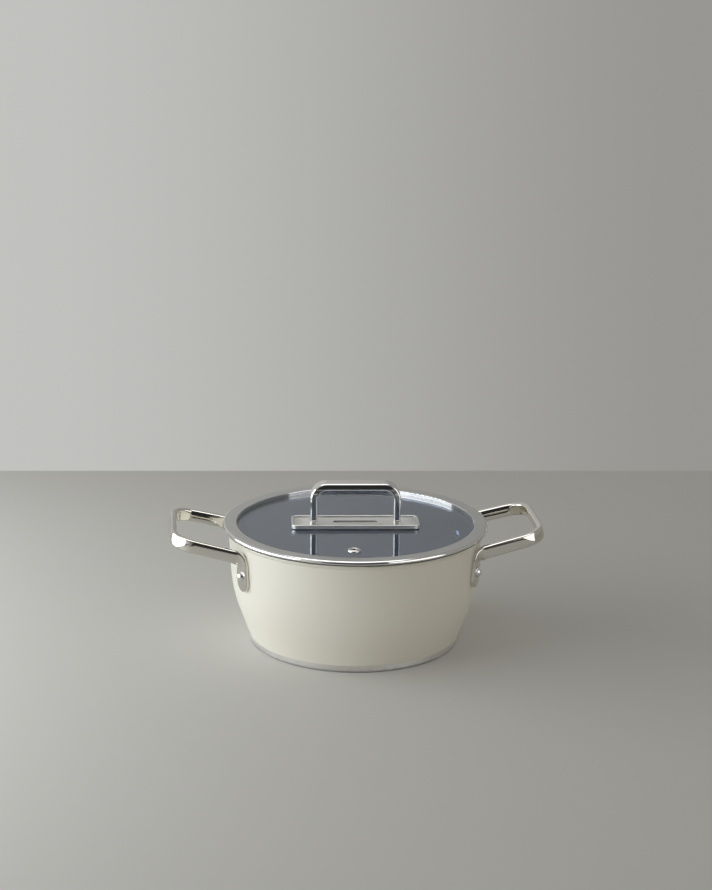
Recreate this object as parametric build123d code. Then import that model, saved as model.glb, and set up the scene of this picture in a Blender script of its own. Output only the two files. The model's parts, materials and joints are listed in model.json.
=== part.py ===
from build123d import *
from math import asin, atan, cos, degrees, radians, sin, sqrt, tan
import os

# Low two-handled pan with a flat glass lid. Millimetres, +Z up, origin at the middle of the
# underside, side handles along X. Angles are in degrees.

# Pan body
PAN_HEIGHT = 93.4           # resting plane to the top of the pouring lip
FOOT_RADIUS = 84.9          # coated wall where it meets the steel band
WALL_TOP_RADIUS = 101.7     # coated wall just below the pouring lip
KNEE_HEIGHT = 42.3          # where the flared lower wall and the upper wall would meet
KNEE_BEND = 110.0           # outside radius between lower and upper wall
DRAFT_ANGLE = 3.5           # upper wall, from the vertical
WALL = 2.2
FLOOR = 2.6
FLOOR_BEND = 14.0           # inside radius between floor and wall
FOOT_ROUND = 0.6
LIP_HEIGHT = 3.6
LIP_FLARE = 1.5             # how far the lip stands out from the wall
LIP_ROUND = 1.0

# Encapsulated base
BASE_HEIGHT = 5.5
BAND_INSET = 0.4            # steel band inside the foot of the coated wall
BAND_ROUND = 1.5
CAP_SHEET = 1.0
HOLLOW_DEPTH = 0.4          # underside is hollowed, so that the pan stands on a ring
HOLLOW_BEVEL = 3.0
STAND_WIDTH = 14.0          # flat ring that the pan stands on

# Side handles
STRAP_HEIGHT = 10.3
STRAP_THICKNESS = 4.5
STRAP_ROUND = 1.3
HANDLE_DROP = 11.6          # pan's top to the middle of the strap at the wall
HANDLE_RISE = 14.0          # slope of the loop, from the horizontal
HANDLE_LENGTH = 46.8        # wall's top to the outer face of the loop
HANDLE_SPREAD = 45.4        # handle's middle to the strap at the wall
HANDLE_END_SPREAD = 41.6    # handle's middle to the strap at the outer end
HANDLE_CORNER = 18.0        # bend of the loop's outer corners
STRAP_BEND = 10.0           # bend that turns the strap down to its tab
BEND_STEPS = 10             # sections along that bend
TAB_STEPS = 2               # sections from the bend to the rivet
END_STEPS = 8               # sections round the tab's lower end
END_ANGLE = 77.0            # how far round that end they go
TAB_WIDTH = 15.6            # the strap widens to this on its lower side only
TAB_THICKNESS = 3.0
SEAT_DEPTH = 0.9            # raw tab reaches this far into the wall before it is fitted

# Rivets
RIVET_DROP = 26.4           # pan's top to the rivet
RIVET_TO_TAB_END = 12.5
RIVET_SHANK = 5.0
RIVET_FIT = 0.05
RIVET_HEAD = 8.0
RIVET_DOME = 3.4
INNER_HEAD = 10.0
INNER_DOME = 1.4
SPOT_DEPTH = 0.2            # flat spot under each head

# Lid rim and glass
LID_TURN = -3.0             # how the lid was put down, from the side handles
LID_SEAT_GAP = 0.2
LID_OVERHANG = 3.3          # rim beyond the pouring lip
RIM_HEIGHT = 4.1
RIM_WIDTH = 11.2            # flat ring seen from above
RIM_SHEET = 0.7
RIM_EDGE_ROUND = 1.9
HEM_ROUND = 0.6
SKIRT_DEPTH = 7.0
SKIRT_CLEARANCE = 0.5
SKIRT_ROUND = 0.5
LEDGE_WIDTH = 2.2           # fold that carries the glass
GLASS = 4.0
GLASS_DROP = 3.3            # rim's top to the glass
GLASS_GAP = 0.3             # round the edge of the glass
GLASS_SEAT = 0.05
GLASS_ROUND = 0.5

# Lid handle
PLATE_LENGTH = 102.6
PLATE_WIDTH = 29.0
PLATE_THICKNESS = 3.2
PLATE_CORNER = 4.5
PLATE_LIP = 2.2
PLATE_RECESS = 1.3
PLATE_ROUND = 0.8
SLOT_LENGTH = 35.4
SLOT_WIDTH = 5.0
GASKET = 0.6
GASKET_INSET = 0.8
BOW_SPREAD = 33.4           # middle of the lid to each leg
BOW_HEIGHT = 35.8           # glass to the top of the bow
BOW_THICKNESS = 5.7         # bar seen from the front
BOW_DEPTH = 14.0            # bar seen from the side
BOW_ROUND = 1.6
BOW_CORNER = 10.5           # bend of the bar's middle line

# Fasteners under the lid
SCREW_SHANK = 4.0
SCREW_FIT = 0.1
SCREW_GRIP = 10.0           # thread inside each leg
SCREW_HEAD = 8.4
SCREW_HEAD_HEIGHT = 2.4
SCREW_HEAD_ROUND = 0.8
SOCKET_RADIUS = 1.7
SOCKET_DEPTH = 1.5
WASHER_RADIUS = 6.0
WASHER = 0.8
GROMMET_RADIUS = 6.5
GROMMET_FLANGE = 1.2
GROMMET_COLLAR = 3.6        # radius of the part inside the glass

# Steam vent
VENT_INSET = 38.0           # rim's outer edge to the middle of the vent
VENT_TURN = -3.0            # how far the vent stands off square to the lid's handle
VENT_BORE = 2.3             # radius
VENT_TUBE = 3.1             # radius
VENT_FLANGE = 5.1           # radius
VENT_RISE = 1.5
VENT_ROUND = 0.7
VENT_WASHER_RADIUS = 5.4
VENT_WASHER = 1.0
VENT_FLARE = 4.2            # radius of the rolled lower edge
VENT_FLARE_HEIGHT = 0.7

# Wall line, worked out from the sizes above
LIP_START = PAN_HEIGHT - LIP_HEIGHT
LIP_RADIUS = WALL_TOP_RADIUS + LIP_FLARE
DRAFT = tan(radians(DRAFT_ANGLE))
AXIS_TO_UPPER = WALL_TOP_RADIUS - LIP_START * DRAFT
KNEE_RADIUS = AXIS_TO_UPPER + KNEE_HEIGHT * DRAFT
FLARE = (KNEE_RADIUS - FOOT_RADIUS) / (KNEE_HEIGHT - BASE_HEIGHT)
FLARE_ANGLE = degrees(atan(FLARE))
AXIS_TO_LOWER = FOOT_RADIUS - BASE_HEIGHT * FLARE
HALF_TURN = radians((FLARE_ANGLE - DRAFT_ANGLE) / 2)
LOWER_RUN = (KNEE_HEIGHT - BASE_HEIGHT) / cos(radians(FLARE_ANGLE))
UPPER_RUN = (LIP_START - KNEE_HEIGHT) / cos(radians(DRAFT_ANGLE))
BEND = min(KNEE_BEND, 0.9 * min(LOWER_RUN, UPPER_RUN) / tan(HALF_TURN))
BEND_TOP = KNEE_HEIGHT + BEND * tan(HALF_TURN) * cos(radians(DRAFT_ANGLE))
BEND_BOTTOM = KNEE_HEIGHT - BEND * tan(HALF_TURN) * cos(radians(FLARE_ANGLE))
BEND_MIDDLE_HEIGHT = BEND_TOP + BEND * sin(radians(DRAFT_ANGLE))
BEND_MIDDLE_RADIUS = AXIS_TO_UPPER + BEND_TOP * DRAFT - BEND * cos(radians(DRAFT_ANGLE))


def wall_at(height):
    """Outside radius of the wall at a height, and the wall's angle there from the vertical."""
    if height >= BEND_TOP:
        return AXIS_TO_UPPER + height * DRAFT, DRAFT_ANGLE
    if height <= BEND_BOTTOM:
        return AXIS_TO_LOWER + height * FLARE, FLARE_ANGLE
    fall = BEND_MIDDLE_HEIGHT - height
    return BEND_MIDDLE_RADIUS + sqrt(BEND**2 - fall**2), degrees(asin(fall / BEND))


def turned(*corners):
    """Solid of revolution about Z. A corner is (radius, height) or (radius, height, rounding)."""
    points = [corner[:2] for corner in corners]
    rounds = [corner[2] if len(corner) > 2 else 0 for corner in corners]
    outline = FilletPolyline(*points, radius=rounds, close=True)
    return revolve(Plane.XZ * make_face(outline), Axis.Z)


def disc(radius, low, high):
    """Plain round solid about Z between two heights."""
    return Pos(0, 0, low) * Cylinder(radius, high - low, align=(Align.CENTER, Align.CENTER, Align.MIN))


def dome_radius(width, height):
    """Radius of the ball that a domed head is cut from."""
    return (width**2 / 4 + height**2) / (2 * height)


def eased(share):
    """A share from 0 to 1 that starts and ends gently."""
    return share * share * (3 - 2 * share)


def at_both_legs(piece):
    """The two copies of a lid piece that sit under the bow's legs."""
    return [Pos(side * BOW_SPREAD, 0, 0) * piece for side in (-1, 1)]


# Pan body

MOUTH_RADIUS = AXIS_TO_UPPER + PAN_HEIGHT * DRAFT - WALL / cos(radians(DRAFT_ANGLE))
OUTER_LINE = [
    (FOOT_RADIUS, BASE_HEIGHT, FOOT_ROUND),
    (KNEE_RADIUS, KNEE_HEIGHT, BEND),
    (WALL_TOP_RADIUS, LIP_START, LIP_FLARE),
    (LIP_RADIUS, LIP_START + LIP_FLARE, LIP_ROUND / 2),
    (LIP_RADIUS, PAN_HEIGHT, LIP_ROUND),
]


def pan_outside():
    """The pan as a solid plug, which the handle tabs are fitted to."""
    return turned((0, BASE_HEIGHT), *OUTER_LINE, (0, PAN_HEIGHT))


def pan_body():
    floor_top = BASE_HEIGHT + FLOOR
    lean = radians((FLARE_ANGLE + DRAFT_ANGLE) / 2)
    inset = WALL / cos(HALF_TURN)
    inner_foot = FOOT_RADIUS + FLOOR * FLARE - WALL / cos(radians(FLARE_ANGLE))
    return turned(
        (0, BASE_HEIGHT),
        *OUTER_LINE,
        (MOUTH_RADIUS, PAN_HEIGHT, LIP_ROUND),
        (KNEE_RADIUS - inset * cos(lean), KNEE_HEIGHT + inset * sin(lean), BEND - WALL),
        (inner_foot, floor_top, FLOOR_BEND),
        (0, floor_top),
    )


# Encapsulated base

BAND_RADIUS = FOOT_RADIUS - BAND_INSET


def base_cap():
    hollow = BAND_RADIUS - BAND_ROUND - STAND_WIDTH
    return turned(
        (0, HOLLOW_DEPTH),
        (hollow - HOLLOW_BEVEL, HOLLOW_DEPTH),
        (hollow, 0),
        (BAND_RADIUS, 0, BAND_ROUND),
        (BAND_RADIUS, BASE_HEIGHT),
        (BAND_RADIUS - CAP_SHEET, BASE_HEIGHT),
        (BAND_RADIUS - CAP_SHEET, CAP_SHEET),
        (0, CAP_SHEET),
    )


def base_core():
    return disc(BAND_RADIUS - CAP_SHEET, CAP_SHEET, BASE_HEIGHT)


# Side handles: the +X one is modelled, and the other is the same piece turned half round

STRAP_HEIGHT_AT_WALL = PAN_HEIGHT - HANDLE_DROP
TAB_MIDDLE = (TAB_THICKNESS - SEAT_DEPTH) / 2
TAB_RADIUS = wall_at(STRAP_HEIGHT_AT_WALL)[0] + TAB_MIDDLE
STRAP_ANGLE = asin(HANDLE_SPREAD / TAB_RADIUS)
TAB_ANGLE = STRAP_ANGLE - (TAB_WIDTH - STRAP_HEIGHT) / 2 / TAB_RADIUS
RIVET_HEIGHT = PAN_HEIGHT - RIVET_DROP
TAB_END_HEIGHT = RIVET_HEIGHT - RIVET_TO_TAB_END
LOOP_PLANE = Plane(
    origin=(TAB_RADIUS * cos(STRAP_ANGLE), 0, STRAP_HEIGHT_AT_WALL),
    x_dir=(cos(radians(HANDLE_RISE)), 0, sin(radians(HANDLE_RISE))),
    z_dir=(-sin(radians(HANDLE_RISE)), 0, cos(radians(HANDLE_RISE))),
)
LOOP_END = (
    (WALL_TOP_RADIUS + HANDLE_LENGTH - LOOP_PLANE.origin.X) / cos(radians(HANDLE_RISE))
    - STRAP_THICKNESS / 2
)


def wall_frame(height, side, lift):
    """Frame on the wall at one tab: X along the wall sideways, Z out of it, lifted off by lift."""
    radius, lean = wall_at(height)
    outward = Vector(cos(TAB_ANGLE), side * sin(TAB_ANGLE), 0)
    sideways = Vector(-sin(TAB_ANGLE), side * cos(TAB_ANGLE), 0)
    normal = outward * cos(radians(lean)) - Vector(0, 0, sin(radians(lean)))
    origin = outward * radius + Vector(0, 0, height) + normal * lift
    return Plane(origin=origin, x_dir=sideways, z_dir=normal)


def strap_section(plane, width, thickness):
    return plane * RectangleRounded(width, thickness, STRAP_ROUND)


def strap_end(side):
    """One end of the strap, bent down and twisted flat against the wall. Side is 1 or -1 in Y."""
    corner = LOOP_PLANE.from_local_coords(Vector(0, side * HANDLE_SPREAD, 0))
    outer = LOOP_PLANE.from_local_coords(Vector(LOOP_END, side * HANDLE_END_SPREAD, 0))
    inward = (corner - outer).normalized()
    seat = wall_frame(STRAP_HEIGHT_AT_WALL, side, TAB_MIDDLE)
    down = seat.x_dir.cross(seat.z_dir) * side
    turn = inward.get_angle(down)
    hinge = Axis((0, 0, 0), inward.cross(down))
    reach = STRAP_BEND * tan(radians(turn / 2))
    start = corner - inward * reach
    middle = start + hinge.direction.cross(inward) * STRAP_BEND
    upright = LOOP_PLANE.z_dir
    twist = upright.rotate(hinge, turn).get_signed_angle(seat.x_dir, down)
    tab_raw = TAB_THICKNESS + SEAT_DEPTH
    tab_top = (corner + down * reach).Z
    bend_length = STRAP_BEND * radians(turn)
    spread_length = bend_length + tab_top - RIVET_HEIGHT

    def spread(share):
        """Width of the strap at a share of its way to the rivet."""
        return STRAP_HEIGHT + (TAB_WIDTH - STRAP_HEIGHT) * eased(share)

    def bent(share):
        """Section of the bend at a share of its turn."""
        along = inward.rotate(hinge, turn * share)
        across = upright.rotate(hinge, turn * share).rotate(Axis((0, 0, 0), along), twist * eased(share))
        thickness = STRAP_THICKNESS + (tab_raw - STRAP_THICKNESS) * eased(share)
        width = spread(bend_length * share / spread_length)
        point = middle + (start - middle).rotate(hinge, turn * share)
        point -= across * (width - STRAP_HEIGHT) / 2
        return strap_section(Plane(origin=point, x_dir=across, z_dir=along), width, thickness)

    def flat(height, width, shift=0):
        """Section of the tab at a height, shifted sideways from the rivet's line."""
        frame = wall_frame(height, side, TAB_MIDDLE)
        downward = frame.x_dir.cross(frame.z_dir) * side
        point = frame.origin + frame.x_dir * shift
        return strap_section(Plane(point, frame.x_dir, downward), width, tab_raw)

    sections = [bent(step / BEND_STEPS) for step in range(BEND_STEPS + 1)]
    for step in range(1, TAB_STEPS + 1):
        height = tab_top + (RIVET_HEIGHT - tab_top) * step / TAB_STEPS
        width = spread(1 - (height - RIVET_HEIGHT) / spread_length)
        sections.append(flat(height, width, (TAB_WIDTH - width) / 2))
    for step in range(END_STEPS + 1):
        angle = radians(END_ANGLE * step / END_STEPS)
        height = TAB_END_HEIGHT + TAB_WIDTH / 2 * (1 - sin(angle))
        sections.append(flat(height, TAB_WIDTH * cos(angle)))
    leg = Plane(origin=start, x_dir=upright, z_dir=inward)
    return loft(sections, ruled=True), leg


def rivet_hole(side):
    return wall_frame(RIVET_HEIGHT, side, 0) * Cylinder(RIVET_SHANK / 2 + RIVET_FIT, TAB_WIDTH)


def rivet_spot(side):
    """Flat spot on the tab, under the rivet's head."""
    spot = disc(RIVET_HEAD / 2 + RIVET_FIT, TAB_THICKNESS - SPOT_DEPTH, TAB_WIDTH)
    return wall_frame(RIVET_HEIGHT, side, 0) * spot


def handle(plug):
    ends = {side: strap_end(side) for side in (-1, 1)}
    path = FilletPolyline(
        LOOP_PLANE.to_local_coords(ends[-1][1].origin),
        (LOOP_END, -HANDLE_END_SPREAD),
        (LOOP_END, HANDLE_END_SPREAD),
        LOOP_PLANE.to_local_coords(ends[1][1].origin),
        radius=HANDLE_CORNER,
    )
    path = LOOP_PLANE * path
    section = strap_section(ends[-1][1], STRAP_HEIGHT, STRAP_THICKNESS)
    strap = sweep(section, path=path)
    whole = strap + ends[-1][0] + ends[1][0]
    whole -= plug
    for side in (-1, 1):
        whole -= rivet_hole(side)
        whole -= rivet_spot(side)
    return whole


# Rivets: a domed head outside on the tab, a flatter one inside on the wall

def rivet(side):
    wall_radius = wall_at(RIVET_HEIGHT)[0] - WALL
    wall_sag = wall_radius - sqrt(wall_radius**2 - (INNER_HEAD / 2) ** 2)
    seat = TAB_THICKNESS - SPOT_DEPTH
    inside = -WALL - wall_sag
    shank = RIVET_SHANK / 2
    outline = [
        Line((0, inside - INNER_DOME), (0, seat + RIVET_DOME)),
        RadiusArc((0, seat + RIVET_DOME), (RIVET_HEAD / 2, seat), dome_radius(RIVET_HEAD, RIVET_DOME)),
        Polyline((RIVET_HEAD / 2, seat), (shank, seat), (shank, inside), (INNER_HEAD / 2, inside)),
        RadiusArc((INNER_HEAD / 2, inside), (0, inside - INNER_DOME), dome_radius(INNER_HEAD, INNER_DOME)),
    ]
    raw = revolve(Plane.XZ * make_face(outline), Axis.Z)
    return wall_frame(RIVET_HEIGHT, side, 0) * raw


# Lid rim and glass

RIM_LOW = PAN_HEIGHT + LID_SEAT_GAP
RIM_TOP = RIM_LOW + RIM_HEIGHT
LID_RADIUS = LIP_RADIUS + LID_OVERHANG
SKIRT_LOW = RIM_LOW - SKIRT_DEPTH
SKIRT_RADIUS = MOUTH_RADIUS - (PAN_HEIGHT - SKIRT_LOW) * DRAFT - SKIRT_CLEARANCE
GLASS_TOP = RIM_TOP - GLASS_DROP
GLASS_LOW = GLASS_TOP - GLASS
GLASS_RADIUS = SKIRT_RADIUS - RIM_SHEET - GLASS_GAP
VENT_PLACE = Rot(0, 0, VENT_TURN) * Pos(0, VENT_INSET - LID_RADIUS, 0)


def lid_rim():
    hem = LID_RADIUS - RIM_WIDTH
    fold = SKIRT_RADIUS - 2 * RIM_SHEET
    ledge_top = GLASS_LOW - GLASS_SEAT
    return turned(
        (hem, GLASS_TOP + GLASS_SEAT),
        (hem, RIM_TOP, HEM_ROUND),
        (LID_RADIUS, RIM_TOP, RIM_EDGE_ROUND),
        (LID_RADIUS, RIM_LOW, RIM_EDGE_ROUND),
        (SKIRT_RADIUS, RIM_LOW),
        (SKIRT_RADIUS, SKIRT_LOW, SKIRT_ROUND),
        (fold, SKIRT_LOW, SKIRT_ROUND),
        (fold, ledge_top - RIM_SHEET),
        (fold - LEDGE_WIDTH, ledge_top - RIM_SHEET),
        (fold - LEDGE_WIDTH, ledge_top),
        (SKIRT_RADIUS - RIM_SHEET, ledge_top),
        (SKIRT_RADIUS - RIM_SHEET, RIM_LOW + RIM_SHEET),
        (LID_RADIUS - RIM_SHEET, RIM_LOW + RIM_SHEET),
        (LID_RADIUS - RIM_SHEET, RIM_TOP - RIM_SHEET),
        (hem + RIM_SHEET, RIM_TOP - RIM_SHEET),
        (hem + RIM_SHEET, GLASS_TOP + GLASS_SEAT),
    )


def lid_glass():
    glass = turned(
        (0, GLASS_LOW),
        (GLASS_RADIUS, GLASS_LOW, GLASS_ROUND),
        (GLASS_RADIUS, GLASS_TOP, GLASS_ROUND),
        (0, GLASS_TOP),
    )
    for hole in at_both_legs(disc(GROMMET_COLLAR + SCREW_FIT, GLASS_LOW, GLASS_TOP)):
        glass -= hole
    return glass - VENT_PLACE * disc(VENT_TUBE + SCREW_FIT, GLASS_LOW, GLASS_TOP)


# Lid handle

PLATE_LOW = GLASS_TOP + GASKET
PLATE_TOP = PLATE_LOW + PLATE_THICKNESS
PLATE_FLOOR = PLATE_TOP - PLATE_RECESS


def screw_holes(low, high):
    return at_both_legs(disc(SCREW_SHANK / 2 + SCREW_FIT, low, high))


def lid_handle_plate():
    outside = RectangleRounded(PLATE_LENGTH, PLATE_WIDTH, PLATE_CORNER)
    plate = Pos(0, 0, PLATE_LOW) * extrude(outside, PLATE_THICKNESS)
    inside = RectangleRounded(
        PLATE_LENGTH - 2 * PLATE_LIP, PLATE_WIDTH - 2 * PLATE_LIP, PLATE_CORNER - PLATE_LIP
    )
    plate -= Pos(0, 0, PLATE_FLOOR) * extrude(inside, PLATE_RECESS)
    plate = fillet(plate.edges().group_by(Axis.Z)[-1], PLATE_ROUND)
    plate -= Pos(0, 0, PLATE_LOW) * extrude(SlotOverall(SLOT_LENGTH, SLOT_WIDTH), PLATE_THICKNESS)
    for hole in screw_holes(PLATE_LOW, PLATE_TOP):
        plate -= hole
    return plate


def lid_handle_gasket():
    pad = RectangleRounded(
        PLATE_LENGTH - 2 * GASKET_INSET, PLATE_WIDTH - 2 * GASKET_INSET, PLATE_CORNER - GASKET_INSET
    )
    gasket = Pos(0, 0, GLASS_TOP) * extrude(pad, GASKET)
    for hole in screw_holes(GLASS_TOP, PLATE_LOW):
        gasket -= hole
    return gasket


def lid_handle_bow():
    bar_top = GLASS_TOP + BOW_HEIGHT - BOW_THICKNESS / 2
    path = Plane.XZ * FilletPolyline(
        (-BOW_SPREAD, PLATE_FLOOR),
        (-BOW_SPREAD, bar_top),
        (BOW_SPREAD, bar_top),
        (BOW_SPREAD, PLATE_FLOOR),
        radius=BOW_CORNER,
    )
    foot = Plane(origin=(-BOW_SPREAD, 0, PLATE_FLOOR), x_dir=(1, 0, 0), z_dir=(0, 0, 1))
    bow = sweep(foot * RectangleRounded(BOW_THICKNESS, BOW_DEPTH, BOW_ROUND), path=path)
    for hole in screw_holes(PLATE_FLOOR, PLATE_FLOOR + SCREW_GRIP + SCREW_FIT):
        bow -= hole
    return bow


# Fasteners under the lid

WASHER_TOP = GLASS_LOW - GROMMET_FLANGE
WASHER_LOW = WASHER_TOP - WASHER
SCREW_LOW = WASHER_LOW - SCREW_HEAD_HEIGHT
SCREW_BORE = SCREW_SHANK / 2 + SCREW_FIT


def lid_handle_grommets():
    grommet = turned(
        (SCREW_BORE, WASHER_TOP),
        (GROMMET_RADIUS, WASHER_TOP),
        (GROMMET_RADIUS, GLASS_LOW),
        (GROMMET_COLLAR, GLASS_LOW),
        (GROMMET_COLLAR, GLASS_TOP),
        (SCREW_BORE, GLASS_TOP),
    )
    return at_both_legs(grommet)


def lid_handle_washers():
    washer = disc(WASHER_RADIUS, WASHER_LOW, WASHER_TOP) - disc(SCREW_BORE, WASHER_LOW, WASHER_TOP)
    return at_both_legs(washer)


def lid_handle_screws():
    screw = turned(
        (0, SCREW_LOW),
        (SCREW_HEAD / 2, SCREW_LOW, SCREW_HEAD_ROUND),
        (SCREW_HEAD / 2, WASHER_LOW),
        (SCREW_SHANK / 2, WASHER_LOW),
        (SCREW_SHANK / 2, PLATE_FLOOR + SCREW_GRIP),
        (0, PLATE_FLOOR + SCREW_GRIP),
    )
    screw -= Pos(0, 0, SCREW_LOW) * extrude(RegularPolygon(SOCKET_RADIUS, 6), SOCKET_DEPTH)
    return at_both_legs(screw)


# Steam vent

FLARE_TOP = GLASS_LOW - VENT_WASHER


def steam_vent_eyelet():
    eyelet = turned(
        (VENT_BORE, FLARE_TOP - VENT_FLARE_HEIGHT),
        (VENT_FLARE, FLARE_TOP - VENT_FLARE_HEIGHT),
        (VENT_FLARE, FLARE_TOP),
        (VENT_TUBE, FLARE_TOP),
        (VENT_TUBE, GLASS_TOP),
        (VENT_FLANGE, GLASS_TOP),
        (VENT_FLANGE, GLASS_TOP + VENT_RISE, 2 * VENT_ROUND),
        (VENT_BORE, GLASS_TOP + VENT_RISE, VENT_ROUND),
    )
    return VENT_PLACE * eyelet


def steam_vent_washer():
    ring = disc(VENT_WASHER_RADIUS, FLARE_TOP, GLASS_LOW)
    return VENT_PLACE * (ring - disc(VENT_TUBE + SCREW_FIT, FLARE_TOP, GLASS_LOW))


# Assembly

HALF_ROUND = Rot(0, 0, 180)
LID_PLACE = Rot(0, 0, LID_TURN)


def save(name, *solids):
    """Write one node; a node of several solids is a group."""
    shape = solids[0] if len(solids) == 1 else Compound(children=list(solids))
    export_step(shape, os.path.join("parts", name + ".step"))


def main():
    os.makedirs("parts", exist_ok=True)
    right = handle(pan_outside())
    body = pan_body()
    for side in (-1, 1):
        hole = rivet_hole(side)
        body -= hole
        body -= HALF_ROUND * hole
    rivets = [rivet(side) for side in (-1, 1)]

    save("pan_body", body)
    save("base_cap", base_cap())
    save("base_core", base_core())
    save("right_handle", right)
    save("left_handle", HALF_ROUND * right)
    save("right_handle_rivets", *rivets)
    save("left_handle_rivets", *[HALF_ROUND * piece for piece in rivets])

    save("lid_rim", LID_PLACE * lid_rim())
    save("lid_glass", LID_PLACE * lid_glass())
    save("lid_handle_plate", LID_PLACE * lid_handle_plate())
    save("lid_handle_gasket", LID_PLACE * lid_handle_gasket())
    save("lid_handle_bow", LID_PLACE * lid_handle_bow())
    save("lid_handle_grommets", *[LID_PLACE * piece for piece in lid_handle_grommets()])
    save("lid_handle_washers", *[LID_PLACE * piece for piece in lid_handle_washers()])
    save("lid_handle_screws", *[LID_PLACE * piece for piece in lid_handle_screws()])
    save("steam_vent_eyelet", LID_PLACE * steam_vent_eyelet())
    save("steam_vent_washer", LID_PLACE * steam_vent_washer())


main()
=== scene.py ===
import json
import math

import bpy
from mathutils import Matrix, Vector

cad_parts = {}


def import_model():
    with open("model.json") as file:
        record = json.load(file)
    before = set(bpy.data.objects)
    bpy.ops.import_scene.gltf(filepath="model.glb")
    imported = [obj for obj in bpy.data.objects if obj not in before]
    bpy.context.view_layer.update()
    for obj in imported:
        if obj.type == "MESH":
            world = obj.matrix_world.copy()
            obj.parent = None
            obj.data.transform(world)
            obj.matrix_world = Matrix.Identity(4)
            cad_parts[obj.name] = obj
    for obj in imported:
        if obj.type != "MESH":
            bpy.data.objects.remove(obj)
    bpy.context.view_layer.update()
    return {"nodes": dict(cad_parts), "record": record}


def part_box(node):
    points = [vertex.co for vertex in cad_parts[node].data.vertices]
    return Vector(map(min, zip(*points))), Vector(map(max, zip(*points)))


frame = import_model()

# Looks of a low two-handled pan with a flat glass lid. Metres and linear colours, the frame of the solids.

# Camera, fitted to the photograph
IMAGE_HEIGHT = 890
FOCAL_PIXELS = 1950
SENSOR = 36.0                               # millimetres
CAMERA_PLACE = (-0.0001, -1.5019, 0.5592)   # before the turn round the pan
CAMERA_TURN = math.radians(-5.59)
CAMERA_PITCH = math.radians(-14.86)
CAMERA_ROLL = math.radians(0.70)

# Floor, before its own turn
FLOOR_TURN = CAMERA_TURN + math.radians(2.6)
FLOOR_BACK = 0.498          # far edge, behind the pan
FLOOR_FRONT = -2.702
FLOOR_LEFT = -0.70          # it ends at the key panel
FLOOR_RIGHT = 1.6
FLOOR_COLOR = (0.63, 0.622, 0.593, 1)
FLOOR_PAINTED_SHADE = (0.34, 0.336, 0.32, 1)
FLOOR_SHINE = 0.2
LAMP_ZONE = (-0.66, -0.33)      # painted shade: the floor goes from the second colour, darker near the key panel, to the first, left of the picture
DARK_AHEAD = (-0.50, -0.45)     # painted dark reflection: mirrors see the floor painted dark here, below the picture
DARK_BESIDE = (0.25, 0.45)      # and fade back to its colour here, on both sides

# Room, by direction: fades are parts of a unit vector
WALL_FADE = (-0.10, 0.28)       # painted light, from lit on the left to dim on the right
WALL_PAINTED_LIT = (0.54, 0.54, 0.525, 1)
WALL_PAINTED_DIM = (0.31, 0.305, 0.29, 1)
ROOM_FADE = (-0.88, -0.50)      # from dark, towards the camera, to the wall's colour
ROOM_DARK = (0.025, 0.025, 0.026, 1)
AMBIENT_LOW = (0.58, 0.570, 0.540, 1)       # soft light from near the horizon
AMBIENT_RIGHT = (0.72, 0.70, 0.635, 1)      # the same on the right
AMBIENT_HIGH = (0.31, 0.305, 0.293, 1)      # soft light from above
AMBIENT_SIDES = (-0.2, 0.9)                 # from the first to the second
AMBIENT_RISE = (0.0, 0.8)                   # from those two to the third

# Soft panels, placed before the camera's turn: three stand near the floor, one hangs over the pan
PANELS = {
    "key": {
        "place": (-0.69, -0.13, 0.26),
        "aim": (0.0, -0.06, 0.21),
        "size": (1.0, 0.5),
        "power": 5.1,
        "color": (0.93, 0.968, 1.0),
    },
    "side": {
        "place": (-0.72, -0.80, 0.22),
        "aim": (-0.14, -0.05, 0.10),
        "size": (0.6, 0.44),
        "power": 0.40,
        "mirrors_only": True,
    },
    "fill": {
        "place": (0.47, -0.40, 0.26),
        "aim": (0.0, -0.10, 0.26),
        "size": (0.55, 0.5),
        "power": 1.1,
        "mirrors_only": True,
    },
    "top": {
        "place": (-0.05, 0.05, 0.95),
        "aim": (-0.05, 0.05, 0.0),
        "size": (0.8, 0.55),
        "power": 3.0,
        "mirrors_only": True,
    },
}

# Colours of the materials
CREAM = (0.80, 0.778, 0.69, 1)
CREAM_WORN = (0.755, 0.728, 0.635, 1)
LINING = (0.032, 0.033, 0.037, 1)
LINING_FLECK = (0.06, 0.062, 0.066, 1)
STEEL = (0.63, 0.63, 0.625, 1)
STEEL_DARK = (0.52, 0.52, 0.515, 1)
BRIGHT = (0.80, 0.795, 0.78, 1)
BRIGHT_DARK = (0.70, 0.695, 0.68, 1)
# side handles' steel tinted warm, clean and hazy: a painted reflection of the warm floor
WARM_REFLECTION_TINT = (0.76, 0.738, 0.68, 1)
WARM_REFLECTION_TINT_DARK = (0.67, 0.648, 0.595, 1)
PLATE = (0.67, 0.665, 0.645, 1)
# pale colour of the slot's walls, a painted highlight
SLOT_PAINTED_HIGHLIGHT = (0.86, 0.84, 0.79, 1)
# painted shade, used low on the rim's outer edge and along the top of the slot's walls
PAINTED_SHADE = (0.03, 0.03, 0.03, 1)
ALUMINIUM = (0.72, 0.72, 0.73, 1)
ALUMINIUM_DARK = (0.60, 0.60, 0.61, 1)
GLASS_TINT = (0.55, 0.64, 0.80, 1)
SILICONE = (0.018, 0.018, 0.019, 1)
SILICONE_DUST = (0.04, 0.04, 0.04, 1)

# Roughness, clean and hazy
MIRROR = (0.04, 0.09)
DULL = (0.20, 0.28)
GLASS_SMOOTH = (0.0, 0.03)

# Coating and glass
COAT_WEIGHT = 0.15
COAT_ROUGHNESS = 0.2
GLASS_CLEAR = 0.9
GLASS_IOR = 1.52

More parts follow.
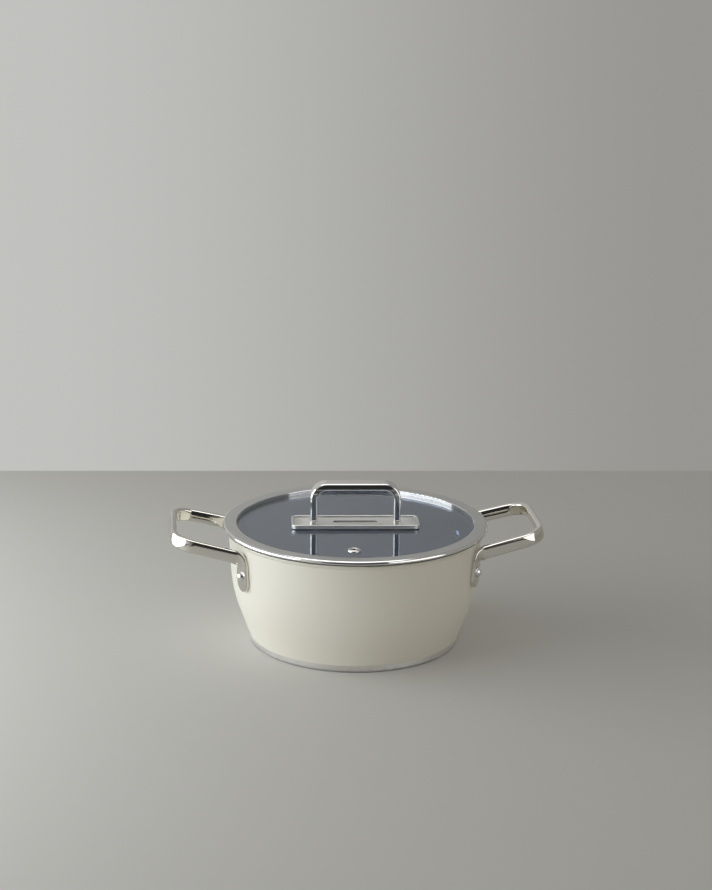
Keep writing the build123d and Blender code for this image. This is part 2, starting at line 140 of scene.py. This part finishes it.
# Noise, as scale per metre and detail
COATING_GRAIN = (700.0, 2.0)
FLECK_GRAIN = (900.0, 1.0)
HAZE_GRAIN = (22.0, 4.0)
SCRATCH_GRAIN = (1500.0, 1.0)
CAST_GRAIN = (900.0, 2.0)
SMEAR_GRAIN = (14.0, 4.0)
RUBBER_GRAIN = (1200.0, 1.0)
RING_LINES = (1800.0, 2.0)
BRUSHED_LINES = (2600.0, 2.0)
BRUSHED_STRETCH = 60.0
PATCH_DETAIL = 3.0

# Spans of noise over which a mark goes from none to full, and of pointiness for rubbed edges
PATCH_SPAN = (0.3, 0.7)
LINE_SPAN = (0.35, 0.65)
FLECK_SPAN = (0.66, 0.74)
HAZE_SPAN = (0.4, 0.75)
SCRATCH_SPAN = (0.6, 0.8)
SMEAR_SPAN = (0.45, 0.8)
EDGE_SPAN = (0.505, 0.56)
WHOLE = (0.0, 1.0)

# Patches, as scale per metre and the two values between which they lie
COATING_WEAR = (9.0, 0.0, 0.6)
CAST_SHADES = (150.0, 0.0, 1.0)
RUBBER_DUST = (120.0, 0.0, 1.0)
COATING_ROUGH = (35.0, 0.34, 0.46)
SATIN_ROUGH = (30.0, 0.30, 0.40)
RIM_ROUGH = (30.0, 0.18, 0.28)      # on top of the roughness of its folds
PLATE_ROUGH = (40.0, 0.40, 0.48)
CAST_ROUGH = (60.0, 0.35, 0.5)
RUBBER_ROUGH = (60.0, 0.5, 0.65)
FLOOR_ROUGH = (12.0, 0.7, 0.85)

# Bumps, as depth and strength
COATING_BUMP = (0.00002, 0.4)
LINE_BUMP = (0.000004, 0.3)
SCRATCH_BUMP = (0.000002, 0.2)
CAST_BUMP = (0.00001, 0.4)
RUBBER_BUMP = (0.00001, 0.4)

# Inside of the pan, which is lined
FACING_IN = -0.02           # radius times the outward part of the normal
FACING_UP = 0.35
LIP_ZONE = 0.0012           # top of the wall that keeps the cream coating

# Lid's rim, whose outer edge gets painted shade along its lower part, as if it curled under
RIM_FLAT = (0.93, 0.99)     # upward part of the normal, from fold to flat
FOLD_ROUGH = 0.1
RIM_HEIGHT = 0.0041
RIM_SHADE_RADIUS = 0.1035
RIM_SHADE_START = 0.0008
RIM_SHADE_END = 0.0019

# Slot in the lid handle's plate
SLOT_END = 0.0185
SLOT_SIDE = 0.0045
SLOT_SHADE = 0.0020         # plate's top to the bottom of the painted shade line round the slot
SLOT_STEEP = 0.5            # upward part of the normal below which a face is a wall

# Side handles, whose faces are gently crowned
STRAP_RISE = math.radians(14.0)
STRAP_START = (0.092, 0.0818)       # out from the axis and up, middle of the strap at the wall
STRAP_HALF = 0.00515
LOOP_MIDDLE = 0.12
INNER_LEAN = 0.13
INNER_SWELL = 0.20
OUTER_SWELL = 0.085

# Bar of the lid's bow, crowned the same way
BAR_HALF = 0.00285
BAR_LEAN = 0.10
BAR_SWELL = 0.14
BAR_FACE = 0.8              # sideways part of the normal above which a face is front or back


# Shader nodes

class Nodes:
    """Short calls for the nodes used below."""

    def __init__(self, tree):
        self.tree = tree

    def add(self, kind, **settings):
        node = self.tree.nodes.new(kind)
        for key, value in settings.items():
            setattr(node, key, value)
        return node

    def put(self, value, socket):
        """Link an output to a socket, or write a plain value into it."""
        if isinstance(value, bpy.types.NodeSocket):
            self.tree.links.new(value, socket)
        else:
            socket.default_value = value

    def math(self, operation, a, b=0.0):
        node = self.add("ShaderNodeMath", operation=operation)
        self.put(a, node.inputs[0])
        self.put(b, node.inputs[1])
        return node.outputs[0]

    def vector(self, operation, a, b):
        node = self.add("ShaderNodeVectorMath", operation=operation)
        self.put(a, node.inputs[0])
        self.put(b, node.inputs[1])
        return node.outputs["Vector"]

    def split(self, vector):
        node = self.add("ShaderNodeSeparateXYZ")
        self.put(vector, node.inputs[0])
        return node.outputs

    def join(self, x, y, z):
        node = self.add("ShaderNodeCombineXYZ")
        for value, socket in zip((x, y, z), node.inputs):
            self.put(value, socket)
        return node.outputs[0]

    def ramp(self, value, span, low=0.0, high=1.0):
        """Value taken smoothly from a span to low..high."""
        node = self.add("ShaderNodeMapRange", interpolation_type="SMOOTHSTEP")
        for socket, number in zip(node.inputs[1:5], (*span, low, high)):
            socket.default_value = number
        self.put(value, node.inputs[0])
        return node.outputs[0]

    def mix(self, share, a, b):
        node = self.add("ShaderNodeMix", data_type="RGBA")
        self.put(share, node.inputs["Factor"])
        self.put(a, node.inputs[6])
        self.put(b, node.inputs[7])
        return node.outputs[2]


class Shader(Nodes):
    """A material's nodes round its main surface."""

    def __init__(self, name):
        self.material = bpy.data.materials.new(name)
        self.material.use_nodes = True
        super().__init__(self.material.node_tree)
        self.surface = self.tree.nodes["Principled BSDF"]
        self.place = self.add("ShaderNodeTexCoord").outputs["Object"]
        self.shape = self.add("ShaderNodeNewGeometry").outputs

    def set(self, **values):
        """Inputs of the surface, by name with _ for blanks."""
        for key, value in values.items():
            self.put(value, self.surface.inputs[key.replace("_", " ")])

    def bump(self, height, depth, strength, normal=None):
        node = self.add("ShaderNodeBump")
        if normal:
            self.put(normal, node.inputs["Normal"])
        node.inputs["Distance"].default_value = depth
        node.inputs["Strength"].default_value = strength
        self.put(height, node.inputs["Height"])
        self.put(node.outputs[0], self.surface.inputs["Normal"])

    def noise(self, scale, detail, place=None):
        node = self.add("ShaderNodeTexNoise")
        node.inputs["Scale"].default_value = scale
        node.inputs["Detail"].default_value = detail
        self.put(place or self.place, node.inputs["Vector"])
        return node.outputs["Fac"]

    def radius(self):
        """Distance from the Z axis."""
        x, y = self.split(self.place)[:2]
        square = self.math("ADD", self.math("MULTIPLY", x, x), self.math("MULTIPLY", y, y))
        return self.math("SQRT", square)

    def edges(self):
        """Share of wear: 1 on convex edges, 0 on flats."""
        return self.ramp(self.shape["Pointiness"], EDGE_SPAN)

    def patches(self, scale, low, high):
        """Soft uneven patches between two values."""
        return self.ramp(self.noise(scale, PATCH_DETAIL), PATCH_SPAN, low, high)

    def ring_lines(self):
        """Fine lathe lines round Z: noise that only changes with radius and height."""
        height = self.split(self.place)["Z"]
        return self.noise(*RING_LINES, self.join(self.radius(), height, 0.0))

    def brushed_lines(self):
        """Fine brushed lines along X."""
        x, y, z = self.split(self.place)
        return self.noise(*BRUSHED_LINES, self.join(self.math("DIVIDE", x, BRUSHED_STRETCH), y, z))

    def lined(self, lines, pale):
        """Steel that goes from dark to pale along its lines."""
        return self.mix(self.ramp(lines, LINE_SPAN), STEEL_DARK, pale)


# Materials

def cream_coating():
    """Satin cream outside and a dark non-stick lining inside, split by which way the wall faces."""
    shader = Shader("cream_coating")
    x, y, z = shader.split(shader.place)
    facing_x, facing_y, facing_z = shader.split(shader.shape["Normal"])
    outward_x = shader.math("MULTIPLY", x, facing_x)
    outward_y = shader.math("MULTIPLY", y, facing_y)
    outward = shader.math("ADD", outward_x, outward_y)
    inside = shader.math("LESS_THAN", outward, FACING_IN)
    floor_up = shader.math("GREATER_THAN", facing_z, FACING_UP)
    below_lip = shader.math("LESS_THAN", z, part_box("pan_body")[1].z - LIP_ZONE)
    lining = shader.math("MULTIPLY", shader.math("MAXIMUM", inside, floor_up), below_lip)
    worn = shader.math("MAXIMUM", shader.patches(*COATING_WEAR), shader.edges())
    cream = shader.mix(worn, CREAM, CREAM_WORN)
    fleck = shader.ramp(shader.noise(*FLECK_GRAIN), FLECK_SPAN)
    dark = shader.mix(fleck, LINING, LINING_FLECK)
    shader.set(Base_Color=shader.mix(lining, cream, dark))
    shader.set(Roughness=shader.patches(*COATING_ROUGH))
    shader.set(Coat_Weight=COAT_WEIGHT, Coat_Roughness=COAT_ROUGHNESS)
    shader.bump(shader.noise(*COATING_GRAIN), *COATING_BUMP)
    return shader.material


def satin_steel():
    """Steel turned on a lathe, with fine rings and edges rubbed bright."""
    shader = Shader("satin_steel")
    lines = shader.ring_lines()
    shader.set(Metallic=1.0)
    shader.set(Base_Color=shader.mix(shader.edges(), shader.lined(lines, STEEL), BRIGHT))
    shader.set(Roughness=shader.patches(*SATIN_ROUGH))
    shader.bump(lines, *LINE_BUMP)
    return shader.material


def rim_steel():
    """Satin ring with polished folds, whose outer edge carries painted shade along its lower part, as if
    it curled under.
    """
    shader = Shader("rim_steel")
    lines = shader.ring_lines()
    height = shader.split(shader.place)["Z"]
    flat = shader.ramp(shader.split(shader.shape["Normal"])["Z"], RIM_FLAT)
    # painted shade: the lower part of the rim's outer edge is painted dark
    outside = shader.math("GREATER_THAN", shader.radius(), RIM_SHADE_RADIUS)
    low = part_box("lid_rim")[1].z - RIM_HEIGHT
    shade_low = shader.ramp(height, (low + RIM_SHADE_START, low + RIM_SHADE_END), 1.0, 0.0)
    painted_rim_shade = shader.math("MULTIPLY", outside, shade_low)
    shader.set(Metallic=1.0)
    steel = shader.mix(flat, BRIGHT, shader.lined(lines, STEEL))
    shader.set(Base_Color=shader.mix(painted_rim_shade, steel, PAINTED_SHADE))
    satin = shader.math("MULTIPLY", flat, shader.patches(*RIM_ROUGH))
    shader.set(Roughness=shader.math("ADD", satin, FOLD_ROUGH))
    shader.bump(lines, *LINE_BUMP)
    return shader.material


def plate_steel():
    """Steel brushed along the plate, edges rubbed bright, with the slot's walls painted pale as a painted
    highlight and a line of painted shade along their top.
    """
    shader = Shader("plate_steel")
    lines = shader.brushed_lines()
    x, y, z = shader.split(shader.place)
    facing_up = shader.split(shader.shape["Normal"])["Z"]
    upright = shader.math("LESS_THAN", shader.math("ABSOLUTE", facing_up), SLOT_STEEP)
    along = shader.math("LESS_THAN", shader.math("ABSOLUTE", x), SLOT_END)
    across = shader.math("LESS_THAN", shader.math("ABSOLUTE", y), SLOT_SIDE)
    # painted highlight: the slot's walls turn pale and stop being metal
    slot_wall = shader.math("MULTIPLY", upright, shader.math("MULTIPLY", along, across))
    shader.set(Metallic=shader.math("SUBTRACT", 1.0, slot_wall))
    # painted shade: a dark line along the top of the slot's walls
    slot_shade_line = shader.math("GREATER_THAN", z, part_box("lid_handle_plate")[1].z - SLOT_SHADE)
    inside = shader.mix(slot_shade_line, SLOT_PAINTED_HIGHLIGHT, PAINTED_SHADE)
    steel = shader.mix(shader.edges(), shader.lined(lines, PLATE), BRIGHT)
    shader.set(Base_Color=shader.mix(slot_wall, steel, inside))
    shader.set(Roughness=shader.patches(*PLATE_ROUGH))
    shader.bump(lines, *LINE_BUMP)
    return shader.material


def leaning(shader, amount, on_face, up_x, up_z):
    """Normal that leans by an amount along (up_x, 0, up_z) on one face, as if the face were crowned."""
    amount = shader.math("MULTIPLY", amount, on_face)
    lean = shader.join(shader.math("MULTIPLY", amount, up_x), 0.0, shader.math("MULTIPLY", amount, up_z))
    return shader.vector("ADD", shader.shape["Normal"], lean)


def handle_crown(shader):
    """Crown of a side handle's strap, stronger on the faces that look into the loop."""
    x, y, z = shader.split(shader.place)
    facing_x, facing_y = shader.split(shader.shape["Normal"])[:2]
    side = shader.math("SIGN", x)
    out = shader.math("SUBTRACT", shader.math("ABSOLUTE", x), STRAP_START[0])
    up = shader.math("SUBTRACT", z, STRAP_START[1])
    rise, run = math.sin(STRAP_RISE), math.cos(STRAP_RISE)
    across = shader.math("SUBTRACT", shader.math("MULTIPLY", up, run), shader.math("MULTIPLY", out, rise))
    share = shader.math("DIVIDE", across, STRAP_HALF)
    to_middle = shader.math("SUBTRACT", shader.math("MULTIPLY", side, LOOP_MIDDLE), x)
    inward = shader.math(
        "SUBTRACT", shader.math("MULTIPLY", facing_x, to_middle), shader.math("MULTIPLY", facing_y, y)
    )
    on_strap = shader.math("LESS_THAN", shader.math("ABSOLUTE", share), 1.0)
    inner = shader.math("GREATER_THAN", inward, 0.0)
    swell = shader.ramp(inner, WHOLE, OUTER_SWELL, INNER_SWELL)
    lean = shader.math("MULTIPLY", inner, INNER_LEAN)
    amount = shader.math("ADD", shader.math("MULTIPLY", share, swell), lean)
    return leaning(shader, amount, on_strap, shader.math("MULTIPLY", side, -rise), run)


def bow_crown(shader):
    """Crown of the bow's bar, on its front and back."""
    height = shader.split(shader.place)["Z"]
    facing_y = shader.split(shader.shape["Normal"])["Y"]
    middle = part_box("lid_handle_bow")[1].z - BAR_HALF
    share = shader.math("DIVIDE", shader.math("SUBTRACT", height, middle), BAR_HALF)
    on_bar = shader.math("LESS_THAN", shader.math("ABSOLUTE", share), 1.0)
    upright = shader.math("GREATER_THAN", shader.math("ABSOLUTE", facing_y), BAR_FACE)
    on_face = shader.math("MULTIPLY", upright, on_bar)
    amount = shader.math("ADD", shader.math("MULTIPLY", share, BAR_SWELL), BAR_LEAN)
    return leaning(shader, amount, on_face, 0.0, 1.0)


def polished_steel(name, clean, hazy, roughness, crown=None):
    """Steel with faint haze, hairline scratches and rubbed edges, between two colours and roughnesses."""
    shader = Shader(name)
    haze = shader.ramp(shader.noise(*HAZE_GRAIN), HAZE_SPAN)
    scratches = shader.ramp(shader.noise(*SCRATCH_GRAIN), SCRATCH_SPAN)
    shader.set(Metallic=1.0)
    shader.set(Base_Color=shader.mix(haze, clean, hazy))
    dulled = shader.math("MAXIMUM", haze, shader.edges())
    shader.set(Roughness=shader.ramp(dulled, WHOLE, *roughness))
    shader.bump(scratches, *SCRATCH_BUMP, crown(shader) if crown else None)
    return shader.material


def aluminium():
    """Cast disc with a dull grain."""
    shader = Shader("aluminium")
    shader.set(Metallic=1.0)
    shader.set(Base_Color=shader.mix(shader.patches(*CAST_SHADES), ALUMINIUM, ALUMINIUM_DARK))
    shader.set(Roughness=shader.patches(*CAST_ROUGH))
    shader.bump(shader.noise(*CAST_GRAIN), *CAST_BUMP)
    return shader.material


def lid_glass():
    """Clear tempered glass with a faint blue tint and wiped smears."""
    shader = Shader("lid_glass")
    smear = shader.ramp(shader.noise(*SMEAR_GRAIN), SMEAR_SPAN)
    shader.set(Base_Color=GLASS_TINT, Transmission_Weight=GLASS_CLEAR, IOR=GLASS_IOR)
    shader.set(Roughness=shader.ramp(smear, WHOLE, *GLASS_SMOOTH))
    return shader.material


def silicone():
    """Black rubber with a little dust."""
    shader = Shader("silicone")
    shader.set(Base_Color=shader.mix(shader.patches(*RUBBER_DUST), SILICONE, SILICONE_DUST))
    shader.set(Roughness=shader.patches(*RUBBER_ROUGH))
    shader.bump(shader.noise(*RUBBER_GRAIN), *RUBBER_BUMP)
    return shader.material


def dress():
    """Give every solid its material; handles, rivets, bow, plate and rim have finishes of their own."""
    finishes = {
        "cream_coating": cream_coating(),
        "satin_steel": satin_steel(),
        "polished_steel": polished_steel("polished_steel", BRIGHT, BRIGHT_DARK, MIRROR),
        "aluminium": aluminium(),
        "lid_glass": lid_glass(),
        "silicone": silicone(),
    }
    # painted reflection: the handles' steel carries a warm tint
    handles = polished_steel("handle_steel", WARM_REFLECTION_TINT, WARM_REFLECTION_TINT_DARK, MIRROR, handle_crown)
    rivets = polished_steel("rivet_steel", BRIGHT, BRIGHT_DARK, DULL)
    special = {
        "left_handle": handles,
        "right_handle": handles,
        "left_handle_rivets": rivets,
        "right_handle_rivets": rivets,
        "lid_handle_bow": polished_steel("bow_steel", BRIGHT, BRIGHT_DARK, MIRROR, bow_crown),
        "lid_handle_plate": plate_steel(),
        "lid_rim": rim_steel(),
    }
    for part in frame["record"]["subparts"]:
        name, slot = part["node"], part["material_slot"]
        solid = frame["nodes"][name]
        solid.data.materials.clear()
        solid.data.materials.append(special.get(name, finishes[slot]))


# Stage

def floor():
    """Pale floor that ends where the photograph's wall begins."""
    corners = [
        (FLOOR_LEFT, FLOOR_FRONT),
        (FLOOR_RIGHT, FLOOR_FRONT),
        (FLOOR_RIGHT, FLOOR_BACK),
        (FLOOR_LEFT, FLOOR_BACK),
    ]
    turn = Matrix.Rotation(FLOOR_TURN, 3, "Z")
    mesh = bpy.data.meshes.new("floor")
    mesh.from_pydata([turn @ Vector((x, y, 0)) for x, y in corners], [], [(0, 1, 2, 3)])
    plane = bpy.data.objects.new("floor", mesh)
    bpy.context.scene.collection.objects.link(plane)
    shader = Shader("floor")
    x, y = shader.split(shader.place)[:2]
    # painted dark reflection: glossy rays see the floor in front painted in the room's dark colour
    ahead = shader.ramp(y, DARK_AHEAD, 1.0, 0.0)
    between = shader.ramp(shader.math("ABSOLUTE", x), DARK_BESIDE, 1.0, 0.0)
    glossy = shader.add("ShaderNodeLightPath").outputs["Is Glossy Ray"]
    painted_dark_reflection = shader.math("MULTIPLY", glossy, shader.math("MULTIPLY", ahead, between))
    # painted shade: the floor is painted darker towards the key panel
    color = shader.mix(shader.ramp(x, LAMP_ZONE), FLOOR_PAINTED_SHADE, FLOOR_COLOR)
    shader.set(Base_Color=shader.mix(painted_dark_reflection, color, ROOM_DARK), Specular_IOR_Level=FLOOR_SHINE)
    shader.set(Roughness=shader.patches(*FLOOR_ROUGH))
    mesh.materials.append(shader.material)


def panel(name, place, aim, size, power, color=(1.0, 1.0, 1.0), mirrors_only=False):
    """Soft panel lamp that the camera doesn't see."""
    light = bpy.data.lights.new(name, "AREA")
    light.shape = "RECTANGLE"
    light.size, light.size_y = size
    light.energy = power
    light.color = color
    holder = bpy.data.objects.new(name, light)
    bpy.context.scene.collection.objects.link(holder)
    turn = Matrix.Rotation(CAMERA_TURN, 3, "Z")
    holder.location = turn @ Vector(place)
    holder.rotation_euler = (turn @ Vector(aim) - holder.location).to_track_quat("-Z", "Y").to_euler()
    holder.visible_camera = False
    holder.visible_diffuse = not mirrors_only


def world():
    """Pale wall for the camera and through glass, a room dark in front for mirrors, and soft light."""
    backdrop = bpy.data.worlds.new("room")
    bpy.context.scene.world = backdrop
    backdrop.use_nodes = True
    nodes = Nodes(backdrop.node_tree)
    path = nodes.add("ShaderNodeLightPath").outputs
    x, y, z = nodes.split(nodes.add("ShaderNodeTexCoord").outputs["Generated"])
    # painted light: the wall is painted brighter on the left, where the key falls, and dimmer to the right
    wall = nodes.mix(nodes.ramp(x, WALL_FADE), WALL_PAINTED_LIT, WALL_PAINTED_DIM)
    room = nodes.mix(nodes.ramp(y, ROOM_FADE), ROOM_DARK, wall)
    straight = nodes.math("MAXIMUM", path["Is Camera Ray"], path["Is Transmission Ray"])
    seen = nodes.mix(straight, room, wall)
    sharp = nodes.math("MAXIMUM", straight, path["Is Glossy Ray"])
    around = nodes.mix(nodes.ramp(x, AMBIENT_SIDES), AMBIENT_LOW, AMBIENT_RIGHT)
    soft = nodes.mix(nodes.ramp(z, AMBIENT_RISE), around, AMBIENT_HIGH)
    light = nodes.mix(sharp, soft, seen)
    nodes.put(light, backdrop.node_tree.nodes["Background"].inputs["Color"])


def camera():
    """The photograph's view of the pan."""
    data = bpy.data.cameras.new("camera")
    data.sensor_width = SENSOR
    data.lens = SENSOR * FOCAL_PIXELS / IMAGE_HEIGHT
    eye = bpy.data.objects.new("camera", data)
    bpy.context.scene.collection.objects.link(eye)
    eye.matrix_world = (
        Matrix.Rotation(CAMERA_TURN, 4, "Z")
        @ Matrix.Translation(CAMERA_PLACE)
        @ Matrix.Rotation(math.pi / 2 + CAMERA_PITCH, 4, "X")
        @ Matrix.Rotation(CAMERA_ROLL, 4, "Z")
    )
    bpy.context.scene.camera = eye


dress()
floor()
for name, settings in PANELS.items():
    panel(name, **settings)
world()
camera()
bpy.context.scene.view_settings.view_transform = "Standard"
